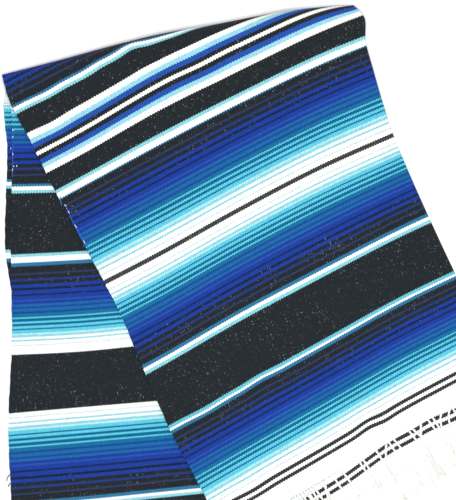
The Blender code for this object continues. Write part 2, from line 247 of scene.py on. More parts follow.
def top_length(u):
    """Length of the top half from the roll's front to its end."""
    return length_of(TOP_LEFT_EDGE) * (1 - u) + length_of(TOP_RIGHT_EDGE) * u


def crest(u):
    """Height of the roll's crest."""
    table = np.array(ROLL_HEIGHT)
    return np.interp(u, table[:, 0], table[:, 1])


def ramp(point):
    """0 where the top half lies on the lower half, 1 where it lies on the surface."""
    edge = np.array(LOWER_RIGHT_EDGE)
    edge_x = np.interp(-point[..., 1], -edge[:, 1], edge[:, 0])
    return smooth((point[..., 0] - edge_x - RAMP_START) / RAMP_WIDTH)


def relief(point):
    """Height of the soft ridges and creases at a plan position."""
    total = np.zeros(point.shape[:-1])
    for x, y, bearing, length, width, height in RIDGES:
        way = np.array([math.cos(math.radians(bearing)), math.sin(math.radians(bearing))])
        off = point - np.array([x, y])
        along = np.abs(off @ way) / (length / 2)
        aside = np.abs(off @ np.array([-way[1], way[0]])) / (width / 2)
        total += height * (1 - smooth(along)) * (1 - smooth(aside))
    return total


def sheet_rows(overhang, lower_overhang):
    """Rows of a sheet from its first end to its last: how far each lies along its stretch, by stretch.

    Returns the shares of the top half from end to crest, the roll's angles, and the shares of the
    lower half from the roll to the end. The rounded ends get close rows of their own.
    """
    top_span = top_length(0.5) + overhang
    under_span = length_of(LOWER_LEFT_EDGE) + lower_overhang
    close_top = np.array(EDGE_STEPS) / top_span
    close_under = 1 - np.array(EDGE_STEPS[::-1]) / under_span
    top = np.concatenate([close_top, np.linspace(close_top[-1], 1, FAR_ROWS + 1)[1:-1]])
    roll = np.linspace(90, -90, ROLL_ROWS + 1)
    under = np.concatenate([np.linspace(0, close_under[0], UNDER_ROWS + 1)[1:-1], close_under])
    return top, roll, under


def photo_place(point):
    """The photograph's x and y of a plan position."""
    return np.stack([PHOTO_LEFT + point[..., 0] / PIXEL, PHOTO_TOP - point[..., 1] / PIXEL], axis=-1)


def stripe_place(stations, spacing, point):
    """Pixels along the cloth at plan positions, from the rows that its stripes cross at each column."""
    table = np.array(stations, float)
    columns = np.array(STATION_COLUMNS, float)
    places, rows = table[:, 0], table[:, 1:]
    slopes = np.gradient(rows, columns, axis=1)
    photo = photo_place(point)
    x = photo[..., 0]
    k = np.clip(np.searchsorted(columns, x, side="right") - 1, 0, len(columns) - 2)
    span = columns[k + 1] - columns[k]
    t = np.clip((x - columns[k]) / span, 0, 1)
    here = hermite(t, span, rows[:, k], slopes[:, k], rows[:, k + 1], slopes[:, k + 1])
    slope_shape = (-1,) + (1,) * x.ndim
    here = here + slopes[:, 0].reshape(slope_shape) * np.minimum(x - columns[0], 0)
    here = here + slopes[:, -1].reshape(slope_shape) * np.maximum(x - columns[-1], 0)
    strayed = photo[..., 1].copy()
    for middle_x, middle_y, half_length, half_width, shift in WANDER:
        beside = 1 - smooth(np.abs(x - middle_x) / half_length)
        strayed -= shift * beside * (1 - smooth(np.abs(photo[..., 1] - middle_y) / (2 * half_width)))
    way = np.sign(spacing)
    here, wanted = here * way, strayed * way
    place = places[0] + (wanted - here[0]) / abs(spacing)
    for j in range(len(places) - 1):
        part = (wanted - here[j]) / (here[j + 1] - here[j])
        place = np.where(wanted >= here[j], places[j] + (places[j + 1] - places[j]) * part, place)
    past = places[-1] + (wanted - here[-1]) / abs(spacing)
    return np.where(wanted >= here[-1], past, place)


def grid_normals(points):
    """Outward normal at each point of a sheet's grid."""
    along = np.gradient(points, axis=0)
    across = np.gradient(points, axis=1)
    normal = np.cross(across, along)
    return normal / np.maximum(np.linalg.norm(normal, axis=2, keepdims=True), 1e-12)


def outer_face(u, overhang, lower_left, lower_overhang):
    """A sheet's outer face, without its depth.

    Returns its points, their pixels along the cloth, and their share of the way to the under side.
    """
    top, roll, under = sheet_rows(overhang, lower_overhang)
    radius = crest(u) / 2
    length = top_length(u)

    def top_plan(inward):
        return plan(TOP_LEFT_EDGE, TOP_RIGHT_EDGE, u, inward / length)

    rows, places, shares = [], [], []
    for share in top:
        distance = (length - radius + overhang) * (1 - share)
        point = top_plan(radius + distance)
        stack = STACK_TOP + (PAIR_TOP - STACK_TOP) * ramp(point)
        rise = 0.5 * (1 + np.cos(np.pi * np.minimum(1, distance / ROLL_SLOPE)))
        height = stack + (crest(u) - stack) * rise + relief(point) * (1 - rise)
        rows.append(np.column_stack([point, height]))
        places.append(stripe_place(TOP_STATIONS, TOP_SPACING, point))
        shares.append(np.zeros(len(u)))
    for angle in np.radians(roll):
        inward = radius * (1 - math.cos(angle))
        point = top_plan(inward)
        height = radius * (1 + math.sin(angle))
        rows.append(np.column_stack([point, height]))
        unrolled = top_plan(radius - radius * (math.pi / 2 - angle))
        places.append(stripe_place(TOP_STATIONS, TOP_SPACING, unrolled))
        shares.append(np.full(len(u), (math.pi / 2 - angle) / math.pi))
    last_place = places[-1]
    longest = length_of(LOWER_LEFT_EDGE)
    for share in under:
        inward = radius + (longest + lower_overhang - radius) * share
        blend = smooth((inward - radius) / HALVES_BLEND)
        lower = plan(lower_left, LOWER_RIGHT_EDGE, u, inward / longest)
        point = top_plan(inward) * (1 - blend)[:, None] + lower * blend[:, None]
        rows.append(np.column_stack([point, np.zeros(len(u))]))
        hidden = last_place + (inward - radius) / PIXEL
        places.append(hidden * (1 - blend) + stripe_place(LOWER_STATIONS, LOWER_SPACING, point) * blend)
        shares.append(np.ones(len(u)))
    return np.array(rows), np.array(places), np.array(shares)


def edge_profile(inset):
    """How far a rounded edge draws each face towards the cloth's middle, at an inset from the edge."""
    radius = CLOTH / 2
    return radius - np.sqrt(np.maximum(0, radius**2 - np.maximum(0, radius - inset) ** 2))


def add_object(name, data):
    """An object of a mesh, a lamp or a camera, in the scene."""
    thing = bpy.data.objects.new(name, data)
    bpy.context.scene.collection.objects.link(thing)
    return thing


def shell(name, points, normals, insets, u_metres, places, material):
    """A closed sheet of cloth from its outer face. insets are the distances from the nearest edge."""
    rows, columns = points.shape[:2]
    draw = edge_profile(insets)[..., None]
    outer = points - normals * draw
    inner = points - normals * (CLOTH - draw)
    rim = insets < RIM_INSET
    count = rows * columns
    inner_index = np.arange(count, 2 * count).reshape(rows, columns)
    outer_index = np.arange(count).reshape(rows, columns)
    inner_index = np.where(rim, outer_index, inner_index)

    def quads(index, flip):
        corners = [index[:-1, :-1], index[1:, :-1], index[1:, 1:], index[:-1, 1:]]
        if flip:
            corners.reverse()
        return np.stack(corners, axis=-1).reshape(-1, 4)

    faces = [quads(outer_index, True), quads(inner_index, False)]
    edge = np.stack(
        [outer_index[:-1, -1], outer_index[1:, -1], inner_index[1:, -1], inner_index[:-1, -1]], axis=-1
    )
    faces.append(edge)
    polygons = [list(dict.fromkeys(face)) for face in np.concatenate(faces).tolist()]
    vertices = np.concatenate([outer.reshape(-1, 3), inner.reshape(-1, 3)])
    used = np.zeros(2 * count, bool)
    for face in polygons:
        used[face] = True
    renumber = np.cumsum(used) - 1
    mesh_faces = [[int(renumber[v]) for v in face] for face in polygons if len(face) > 2]
    mesh = bpy.data.meshes.new(name)
    mesh.from_pydata((vertices[used] + DRAWING_TO_WORLD).tolist(), [], mesh_faces)
    facts = np.stack([u_metres, places * PIXEL, np.zeros_like(places)], axis=-1).reshape(-1, 3)
    facts = np.concatenate([facts, facts + [0, 0, 1]])[used]
    attribute = mesh.attributes.new("cloth", "FLOAT_VECTOR", "POINT")
    attribute.data.foreach_set("vector", facts.astype(np.float32).ravel())
    mesh.materials.append(material)
    mesh.shade_smooth()
    return add_object(name, mesh)


def end_insets(overhang, lower_overhang):
    """Distance of each row of a sheet from its nearer end, capped."""
    top, roll, under = sheet_rows(overhang, lower_overhang)
    top_span = top_length(0.5) + overhang
    under_span = length_of(LOWER_LEFT_EDGE) + lower_overhang
    insets = np.concatenate([top * top_span, np.full(len(roll), FAR_INSET), (1 - under) * under_span])
    return np.minimum(insets, FAR_INSET)


def outer_sheet(material):
    """The top ply, the roll's face and the bottom ply, with the lengthwise fold at the right."""
    reach = 1 - FOLD_RADIUS / CLOTH_WIDTH
    left = np.array(EDGE_STEPS) / CLOTH_WIDTH
    u = np.concatenate([left, np.linspace(left[-1], reach, COLUMNS)[1:]])
    points, places, _ = outer_face(u, 0.0, BOTTOM_LEFT_EDGE, BOTTOM_OVERHANG)
    places[-len(sheet_rows(0.0, BOTTOM_OVERHANG)[2]):] += BOTTOM_SHIFT
    normals = grid_normals(points)
    away = points[:, -1] - points[:, -2]
    away = away - normals[:, -1] * (away * normals[:, -1]).sum(axis=1, keepdims=True)
    away = away / np.linalg.norm(away, axis=1, keepdims=True)
    middle = points[:, -1] - normals[:, -1] * FOLD_RADIUS
    u_metres = np.tile(u * CLOTH_WIDTH, (len(points), 1))
    for angle in np.linspace(0, math.pi, CURL_COLUMNS + 1)[1:]:
        turned = normals[:, len(u) - 1] * math.cos(angle) + away * math.sin(angle)
        points = np.concatenate([points, (middle + turned * FOLD_RADIUS)[:, None]], axis=1)
        normals = np.concatenate([normals, turned[:, None]], axis=1)
        u_metres = np.concatenate([u_metres, u_metres[:, len(u) - 1:len(u)] + FOLD_RADIUS * angle], axis=1)
        places = np.concatenate([places, places[:, len(u) - 1:len(u)]], axis=1)
    insets = np.minimum(end_insets(0.0, BOTTOM_OVERHANG)[:, None], u_metres)
    return shell("outer_cloth", points, normals, insets, u_metres, places, material)


def inner_sheet(material):
    """The second ply, the bend inside the roll and the lower panel."""
    reach = 1 - (FOLD_RADIUS + GAP) / CLOTH_WIDTH
    left = np.array(EDGE_STEPS) / CLOTH_WIDTH
    right = reach - left[::-1]
    u = np.concatenate([left, np.linspace(left[-1], right[0], COLUMNS)[1:-1], right])
    points, places, shares = outer_face(u, SECOND_OVERHANG, LOWER_LEFT_EDGE, 0.0)
    top_rows = (shares[:, 0] < 1).sum()
    shift = np.array(SECOND_SHIFT)
    places[:top_rows] += np.interp(photo_place(points[:top_rows, :, :2])[..., 0], shift[:, 0], shift[:, 1])
    normals = grid_normals(points)
    points = points - normals * (PITCH + BEND_CLEAR * (1 - shares))[..., None]
    u_metres = np.tile(u * CLOTH_WIDTH, (len(points), 1))
    across = np.minimum(u_metres, reach * CLOTH_WIDTH - u_metres)
    insets = np.minimum(end_insets(SECOND_OVERHANG, 0.0)[:, None], np.maximum(across, 0))
    return shell("inner_cloth", points, normals, insets, u_metres, places, material)


# Colours of the yarns, as the photograph shows them
DYED_YARNS = {
    "black": (35, 41, 46),
    "charcoal": (56, 57, 59),
    "slate": (66, 68, 69),
    "dim": (50, 62, 100),
    "dark": (22, 36, 62),
    "ink": (20, 40, 92),
    "navy": (34, 62, 130),
    "blue": (27, 64, 164),
    "bright": (40, 88, 184),
    "deep": (14, 80, 158),
    "peacock": (33, 108, 176),
    "teal": (24, 116, 166),
    "dark_teal": (6, 110, 150),
    "steel": (50, 126, 172),
    "cyan": (102, 214, 242),
    "soft_cyan": (112, 208, 226),
    "light_cyan": (150, 226, 238),
    "light_blue": (166, 233, 250),
    "pale": (196, 250, 253),
    "mint": (226, 243, 242),
}
WHITE_YARNS = {
    "white": (240, 241, 240),
    "cream": (240, 240, 234),
}
DYED_GAIN = 0.735  # share of a dyed yarn's light that is given back, under lights that bleach the floor

# One shaded stretch of the cloth, from its dark side to its white side: yarn, pixels
HALF_OMBRE = (
    ("black", 7.9), ("dim", 1.7), ("black", 4.4), ("navy", 2.5), ("black", 3.5), ("blue", 3.5),
    ("dark", 2.3), ("blue", 4.1), ("ink", 1.8), ("blue", 4.3), ("bright", 1.6), ("blue", 2.9),
    ("peacock", 2.6), ("deep", 2.1), ("peacock", 3.2), ("deep", 1.9), ("teal", 4.0), ("cyan", 1.3),
    ("dark_teal", 3.2), ("cyan", 2.2), ("dark_teal", 2.5), ("cyan", 2.8), ("dark_teal", 1.4),
    ("cyan", 3.4), ("pale", 1.9), ("light_cyan", 2.5), ("white", 2.3), ("light_cyan", 1.7),
    ("white", 3.7), ("mint", 1.2), ("white", 5.5),
)
# Groups of plain stripes: where each begins, and its stripes as yarn, pixels
BORDERS = (
    (0.0, (("white", 20.6), ("charcoal", 3.9), ("white", 3.3), ("charcoal", 4.0))),
    (121.1, (
        ("steel", 3.3), ("white", 2.2), ("soft_cyan", 3.2), ("black", 56.4),
        ("light_cyan", 3.2), ("white", 3.5), ("steel", 3.5),
    )),
    (285.1, (("slate", 4.5),)),
    (378.6, (
        ("steel", 1.1), ("white", 5.8), ("light_cyan", 3.2), ("black", 19.8),
        ("cream", 5.6), ("light_blue", 4.3), ("bright", 5.2), ("black", 4.5), ("cream", 3.9),
        ("black", 4.1), ("bright", 4.8), ("light_blue", 4.8), ("cream", 6.1),
        ("black", 20.5), ("light_cyan", 3.0), ("white", 3.5), ("steel", 2.5),
    )),
    (660.8, (
        ("steel", 2.5), ("white", 3.5), ("light_cyan", 3.0), ("black", 60.0),
        ("light_cyan", 3.0), ("white", 5.5), ("steel", 3.5),
    )),
    (829.8, (("black", 57.0),)),
    (976.8, (
        ("steel", 3.4), ("white", 2.6), ("light_cyan", 3.0), ("black", 15.0), ("white", 4.5),
        ("charcoal", 3.7), ("white", 3.9), ("charcoal", 3.7), ("white", 30.0),
    )),
)
# Shading of the cloth between the borders: pixels along the cloth, 0 at the dark side, 1 at the white side
SHADING = (
    (31.0, 1), (62.5, 0.698), (92.0, 0.358), (123.2, 0), (194.4, 0), (230.8, 0.4), (284.8, 1),
    (288.3, 1), (313.5, 0.75), (350.0, 0.344), (380.0, 0), (480.8, 0), (570.8, 1), (660.8, 0),
    (741.3, 0), (826.5, 1), (885.7, 1), (978.9, 0),
)

BORDER_MARGIN = 0.02  # clear share of a group's width at each side of it

# Weave
RIB = 0.0031  # width of one lengthwise rib
BEAD = 0.0035  # length of one bead of weft along a rib
ZIGZAG = 0.0009  # how far a stripe's edge swings to each side, from rib to rib
FURROW_SHADE_DEPTH = 0.30  # how much darker painted shade makes a furrow between two ribs
RIB_MEAN = 0.64  # a rib's mean rise, at which the painted furrow shade leaves the yarn's own tone
BEAD_TONE = 0.22  # range of the beads' tones
SPECK_EDGE = 0.5  # how narrow a speck of warp is, from 0 to 1
SPECK_CHANCE = 0.20  # share of the beads with a speck
SPECK_POWER = 1.5  # how much rarer the strong specks are
SPECK_STRENGTH = 0.62
SPECK_FADE = 9.0  # how quickly the specks fade on lighter yarn
SPECK_LEAST = 0.04  # share of the specks that is left on light yarn
PATCH_SCALE = 11.0  # how fine the patches of specks are
PATCH_GAIN = 3.0
PATCH_SHIFT = -1.0
PATCH_LEAST = 0.15
ROW_RATE = 22.0  # changes along a lengthwise row of specks, for each metre
ROW_SCALE = 0.8
ROW_GAIN = 6.0
ROW_SHIFT = -2.6
ROW_LEAST = 0.1
SPECK_COLOUR = (214, 215, 208)
CLOTH_ROUGHNESS = 0.92
CLOTH_SPECULAR = 0.15
CLOTH_SHEEN = 0.04
SHEEN_ROUGHNESS = 0.5
BEAD_SHAPE = 0.5  # below 1 the beads are fuller than a sine
BEAD_BUMP = 0.6
BEAD_HEIGHT = 0.0009

# White warp yarn
WARP_SHADE = (234, 234, 228)
WARP_LIGHT = (246, 246, 243)
# painted shade at a strand's tip, greyer and warmer than the yarn
WARP_TIP_SHADE = (228, 225, 216)
TIP_SHADE_START = 0.9  # share of a strand's length at which the painted shade of its tip begins
TIP_SHADE_RATE = 8.0  # how quickly the painted shade deepens from there
FIBRE_SCALE = 900.0
WARP_BUMP = 0.4
WARP_HEIGHT = 0.0006
WARP_SPECULAR = 0.2
WARP_SHEEN = 0.05


def linear_colour(colour):
    """Linear light of a colour of 0 to 255."""
    share = np.array(colour, float) / 255
    return np.where(share <= 0.04045, share / 12.92, ((share + 0.055) / 1.055) ** 2.4)


def yarn_light(yarn):
    """Linear light that a yarn gives back."""
    if yarn in WHITE_YARNS:
        return linear_colour(WHITE_YARNS[yarn])
    return linear_colour(DYED_YARNS[yarn]) * DYED_GAIN


class Nodes:
    """Short calls for a material's nodes."""

    def __init__(self, name):
        self.material = bpy.data.materials.new(name)
        self.material.use_nodes = True
        self.tree = self.material.node_tree
        self.shader = self.tree.nodes["Principled BSDF"]

    def add(self, kind, inputs=(), **settings):
        """A node of a kind; inputs are values, or sockets to link."""
        node = self.tree.nodes.new(kind)
        for key, value in settings.items():
            setattr(node, key, value)
        for key, value in dict(inputs).items():
            if isinstance(value, bpy.types.NodeSocket):
                self.tree.links.new(value, node.inputs[key])
            else:
                node.inputs[key].default_value = value
        return node

    def math(self, operation, *values):
        """The result of a mathematical operation."""
        return self.add("ShaderNodeMath", dict(enumerate(values)), operation=operation).outputs[0]

    def clamp(self, value, least, most):
        """A value held between two bounds."""
        return self.math("MINIMUM", self.math("MAXIMUM", value, least), most)

    def mix(self, share, first, second, blend="MIX"):
        """Two colours mixed."""
        node = self.tree.nodes.new("ShaderNodeMix")
        node.data_type = "RGBA"
        node.blend_type = blend
        node.clamp_result = False
        for socket, value in ((node.inputs[0], share), (node.inputs[6], first), (node.inputs[7], second)):
            if isinstance(value, bpy.types.NodeSocket):
                self.tree.links.new(value, socket)
            elif socket == node.inputs[0]:
                socket.default_value = value
            else:
                socket.default_value = (*value, 1.0)
        return node.outputs[2]

    def ramp(self, place, stops, interpolation):
        """Colours by place from 0 to 1; stops are place, colour, opacity."""
        node = self.add("ShaderNodeValToRGB", {0: place})
        node.color_ramp.interpolation = interpolation
        elements = node.color_ramp.elements
        while len(elements) < len(stops):
            elements.new(0.5)
        for element, stop in zip(elements, stops):
            element.position = stop[0]
        # The first pass may have put the elements in another order, so their places are set again
        for element, (position, colour, opacity) in zip(elements, stops):
            element.position = position
            element.color = (*colour, opacity)
        return node.outputs


def stripe_colour(nodes, place):
    """The yarn's colour at a place in metres along the cloth."""
    along = nodes.math("DIVIDE", place, PIXEL)
    marks = [(at / CLOTH_PIXELS, (value, value, value), 1.0) for at, value in SHADING]
    shade = nodes.ramp(nodes.math("DIVIDE", along, CLOTH_PIXELS), marks, "LINEAR")[0]
    whole = sum(width for _, width in HALF_OMBRE)
    stops, at = [], 0.0
    for yarn, width in HALF_OMBRE:
        stops.append((at / whole, yarn_light(yarn), 1.0))
        at += width
    colour = nodes.ramp(shade, stops, "CONSTANT")[0]
    for start, stripes in BORDERS:
        span = sum(width for _, width in stripes)
        margin = span * BORDER_MARGIN
        stops, at = [(0.0, (0, 0, 0), 0.0)], margin
        for yarn, width in stripes:
            stops.append((at / (span + 2 * margin), yarn_light(yarn), 1.0))
            at += width
        stops.append((at / (span + 2 * margin), (0, 0, 0), 0.0))
        local = nodes.math("DIVIDE", nodes.math("SUBTRACT", along, start - margin), span + 2 * margin)
        outputs = nodes.ramp(local, stops, "CONSTANT")
        colour = nodes.mix(outputs[1], colour, outputs[0])
    return colour


def cloth_material():
    """The woven cloth: ribs lengthwise, beads of weft on them, stripes by the chart."""
    nodes = Nodes("serape_weave")
    cloth = nodes.add("ShaderNodeAttribute", attribute_name="cloth")
    parts = nodes.add("ShaderNodeSeparateXYZ", {0: cloth.outputs["Vector"]})
    across, along = parts.outputs[0], parts.outputs[1]

    # A stripe's edge swings from rib to rib, because the beads of two ribs are half a bead apart
    rib_place = nodes.math("DIVIDE", across, RIB)
    rib_turn = nodes.math("MULTIPLY", rib_place, math.pi)
    swing = nodes.math("MULTIPLY", nodes.math("SINE", rib_turn), ZIGZAG)
    colour = stripe_colour(nodes, nodes.math("ADD", along, swing))

    # Each bead has its own tone, and the furrows between ribs are darkened with painted shade
    rib = nodes.math("FLOOR", rib_place)
    odd = nodes.math("MODULO", rib, 2.0)
    bead_place = nodes.math("ADD", nodes.math("DIVIDE", along, BEAD), nodes.math("MULTIPLY", odd, 0.5))
    cell = nodes.add("ShaderNodeCombineXYZ", {0: rib, 1: nodes.math("FLOOR", bead_place)})
    noise = nodes.add("ShaderNodeTexWhiteNoise", {"Vector": cell.outputs[0]}, noise_dimensions="3D")
    chance = noise.outputs[0]
    rib_bead = nodes.math("ABSOLUTE", nodes.math("SINE", rib_turn))
    bead = nodes.math("ABSOLUTE", nodes.math("SINE", nodes.math("MULTIPLY", bead_place, math.pi)))
    # painted shade in the furrows between ribs
    furrow_shade = nodes.math("MULTIPLY_ADD", rib_bead, FURROW_SHADE_DEPTH, 1.0 - FURROW_SHADE_DEPTH * RIB_MEAN)
    bead_tone = nodes.math("MULTIPLY_ADD", chance, BEAD_TONE, 1.0 - BEAD_TONE / 2)
    # painted furrow shade times each bead's own random tone
    tone = nodes.math("MULTIPLY", furrow_shade, bead_tone)
    grey = nodes.add("ShaderNodeCombineColor", {0: tone, 1: tone, 2: tone})
    colour = nodes.mix(1.0, colour, grey.outputs[0], "MULTIPLY")

    # The pale warp peeps out of the dark yarn as specks in lengthwise rows, in patches
    place = cloth.outputs["Vector"]
    patch = nodes.add("ShaderNodeTexNoise", {"Vector": place, "Scale": PATCH_SCALE, "Detail": 2.0})
    patchy = nodes.math("MULTIPLY_ADD", patch.outputs[0], PATCH_GAIN, PATCH_SHIFT)
    patchy = nodes.clamp(patchy, PATCH_LEAST, 1.0)
    row_place = nodes.add("ShaderNodeCombineXYZ", {0: rib, 1: nodes.math("MULTIPLY", along, ROW_RATE)})
    row_place = row_place.outputs[0]
    row = nodes.add("ShaderNodeTexNoise", {"Vector": row_place, "Scale": ROW_SCALE, "Detail": 1.0})
    in_row = nodes.math("MULTIPLY_ADD", row.outputs[0], ROW_GAIN, ROW_SHIFT)
    in_row = nodes.clamp(in_row, ROW_LEAST, 1.0)
    shape = nodes.math("GREATER_THAN", nodes.math("MULTIPLY", rib_bead, bead), SPECK_EDGE)
    rare = nodes.math("MULTIPLY_ADD", chance, 1 / SPECK_CHANCE, 1 - 1 / SPECK_CHANCE)
    rare = nodes.math("POWER", nodes.math("MAXIMUM", rare, 0.0), SPECK_POWER)
    strength = nodes.math("MULTIPLY", rare, patchy)
    strength = nodes.math("MULTIPLY", strength, nodes.math("MULTIPLY", in_row, shape))
    light = nodes.add("ShaderNodeSeparateColor", {0: colour}).outputs[2]
    darkness = nodes.math("MAXIMUM", nodes.math("MULTIPLY_ADD", light, -SPECK_FADE, 1.0), SPECK_LEAST)
    speck = nodes.math("MULTIPLY", nodes.math("MULTIPLY", strength, SPECK_STRENGTH), darkness)
    colour = nodes.mix(speck, colour, linear_colour(SPECK_COLOUR))

    # Relief of the yarn
    height = nodes.math("POWER", nodes.math("MULTIPLY", rib_bead, bead), BEAD_SHAPE)
    bump = nodes.add("ShaderNodeBump", {"Height": height, "Strength": BEAD_BUMP, "Distance": BEAD_HEIGHT})
    nodes.tree.links.new(bump.outputs[0], nodes.shader.inputs["Normal"])
    nodes.tree.links.new(colour, nodes.shader.inputs["Base Color"])
    nodes.shader.inputs["Roughness"].default_value = CLOTH_ROUGHNESS
    nodes.shader.inputs["Specular IOR Level"].default_value = CLOTH_SPECULAR
    nodes.shader.inputs["Sheen Weight"].default_value = CLOTH_SHEEN
    nodes.shader.inputs["Sheen Roughness"].default_value = SHEEN_ROUGHNESS
    return nodes.material


def yarn_material():
    """Twisted white warp yarn, made a little greyer towards its tip by painted shade."""
    nodes = Nodes("warp_yarn")
    noise = nodes.add("ShaderNodeTexNoise", {"Scale": FIBRE_SCALE, "Detail": 3.0, "Roughness": 0.6})
    colour = nodes.mix(noise.outputs[0], linear_colour(WARP_SHADE), linear_colour(WARP_LIGHT))
    reach = nodes.add("ShaderNodeAttribute", attribute_name="reach").outputs["Fac"]
    # painted shade, growing along the last part of each strand
    tip_shade = nodes.math("MULTIPLY_ADD", reach, TIP_SHADE_RATE, -TIP_SHADE_RATE * TIP_SHADE_START)
    colour = nodes.mix(nodes.clamp(tip_shade, 0.0, 1.0), colour, linear_colour(WARP_TIP_SHADE))
    fibres = {"Height": noise.outputs[0], "Strength": WARP_BUMP, "Distance": WARP_HEIGHT}
    bump = nodes.add("ShaderNodeBump", fibres)
    nodes.tree.links.new(bump.outputs[0], nodes.shader.inputs["Normal"])
    nodes.tree.links.new(colour, nodes.shader.inputs["Base Color"])
    nodes.shader.inputs["Roughness"].default_value = CLOTH_ROUGHNESS
    nodes.shader.inputs["Specular IOR Level"].default_value = WARP_SPECULAR
    nodes.shader.inputs["Sheen Weight"].default_value = WARP_SHEEN
    return nodes.material


# Fringes
STRANDS = 38  # along an end
FRINGE_SEEDS = {"upper": 11, "second": 23, "lower": 37, "bottom": 53}
ROOT_JITTER = 0.006
ROOT_MARGIN = 0.004  # from an end's corners to the nearest root
STRAND_MARGIN = 0.003  # from an end's corners to the nearest strand
SHOWN_MARGIN = 0.010  # no other roots are this near to those listed
LEANS = (0.004, -0.020, 0.012, 0.002)  # how far strands lean along the end, in turn
LEAN_JITTER = 0.004
LEAN_LENGTH = 0.022  # how far out a strand has leaned most of its way
UPPER_STRANDS = (  # where the photograph shows the strands: root from the left, lean
    (0.186, 0.003), (0.194, 0.006), (0.203, 0.002), (0.211, 0.006), (0.218, 0.002), (0.226, 0.004),
    (0.234, 0.006),
    (0.255, 0.004), (0.272, -0.024), (0.285, 0.004), (0.308, 0.006), (0.355, 0.003), (0.364, 0.004),
    (0.401, 0.002), (0.430, -0.022), (0.436, 0.004), (0.449, 0.006), (0.489, 0.006), (0.498, 0.012),
    (0.522, -0.020), (0.540, 0.004), (0.552, 0.004), (0.575, -0.022), (0.598, -0.024), (0.602, 0.003),
)
FRINGE_LENGTH = 0.128
LENGTH_JITTER = 0.005
STRAND_WAVE = 0.004  # how far a strand wanders to each side
HALF_WAVES = 2.2  # along a strand
WAVE_STARTS = 6  # range of the angles at which the waves begin
STRAND_CLEAR = 0.0003  # under the lowest strands
STRAND_POINTS = 96
STRAND_TUCK = 0.003  # how far a strand's root reaches into the cloth's end
PLY_RADIUS = 0.0016  # a strand is two plies, twisted
PLY_OFFSET = 0.0013
PLY_SIDES = 5
TWIST_LENGTH = 0.014
FRAY = 2.0  # how much further apart the plies are at the tip
FRAY_START = 0.90
FRAY_SPAN = 0.10
CROSSING_LIFT = 0.0022  # height of a strand that lies over another
LIFT_RISE = 0.006  # how far out it has risen
LIFT_END = 0.03  # how far out it begins to sink
LIFT_FADE = 0.05


def tube(path, radius, sides):
    """Vertices and faces of a round tube along a path, closed at both ends."""
    way = np.gradient(path, axis=0)
    way /= np.linalg.norm(way, axis=1, keepdims=True)
    side = np.cross(way, [0.0, 0.0, 1.0])
    side /= np.maximum(np.linalg.norm(side, axis=1, keepdims=True), 1e-9)
    up = np.cross(side, way)
    turn = np.arange(sides) / sides * 2 * math.pi
    ring = side[:, None] * np.cos(turn)[None, :, None] + up[:, None] * np.sin(turn)[None, :, None]
    vertices = (path[:, None] + ring * radius).reshape(-1, 3)
    first = np.arange(len(path) - 1)[:, None] * sides + np.arange(sides)
    beside = np.arange(len(path) - 1)[:, None] * sides + (np.arange(sides) + 1) % sides
    faces = np.stack([first, beside, beside + sides, first + sides], axis=-1).reshape(-1, 4).tolist()
    faces.append(list(reversed(range(sides))))
    faces.append(list(range((len(path) - 1) * sides, len(path) * sides)))
    return vertices, faces


def tubes_object(name, paths, radius, sides, material):
    """One object of many round tubes; the attribute named reach is 0 at a tube's start and 1 at its end."""
    vertices, faces, reach, count = [], [], [], 0
    for path in paths:
        made, made_faces = tube(path, radius, sides)
        vertices.append(made)
        reach.append(np.repeat(np.linspace(0, 1, len(path)), sides))
        faces += [[count + v for v in face] for face in made_faces]
        count += len(made)
    mesh = bpy.data.meshes.new(name)
    mesh.from_pydata((np.concatenate(vertices) + DRAWING_TO_WORLD).tolist(), [], faces)
    attribute = mesh.attributes.new("reach", "FLOAT", "POINT")
    attribute.data.foreach_set("value", np.concatenate(reach).astype(np.float32))
    mesh.materials.append(material)
    mesh.shade_smooth()
    return add_object(name, mesh)


def strand_plan(width, chance, shown):
    """Root and lean of each strand along an end; shown are those listed, with others beside them."""
    plan_rows = list(shown)
    for index in range(STRANDS):
        root = (index + 0.5) / STRANDS * width + chance.normal(0, ROOT_JITTER)
        lean = LEANS[index % len(LEANS)] + chance.normal(0, LEAN_JITTER)
        taken = shown and shown[0][0] - SHOWN_MARGIN < root < shown[-1][0] + SHOWN_MARGIN
        if not taken:
            plan_rows.append((float(np.clip(root, ROOT_MARGIN, width - ROOT_MARGIN)), lean))
    return sorted(plan_rows)


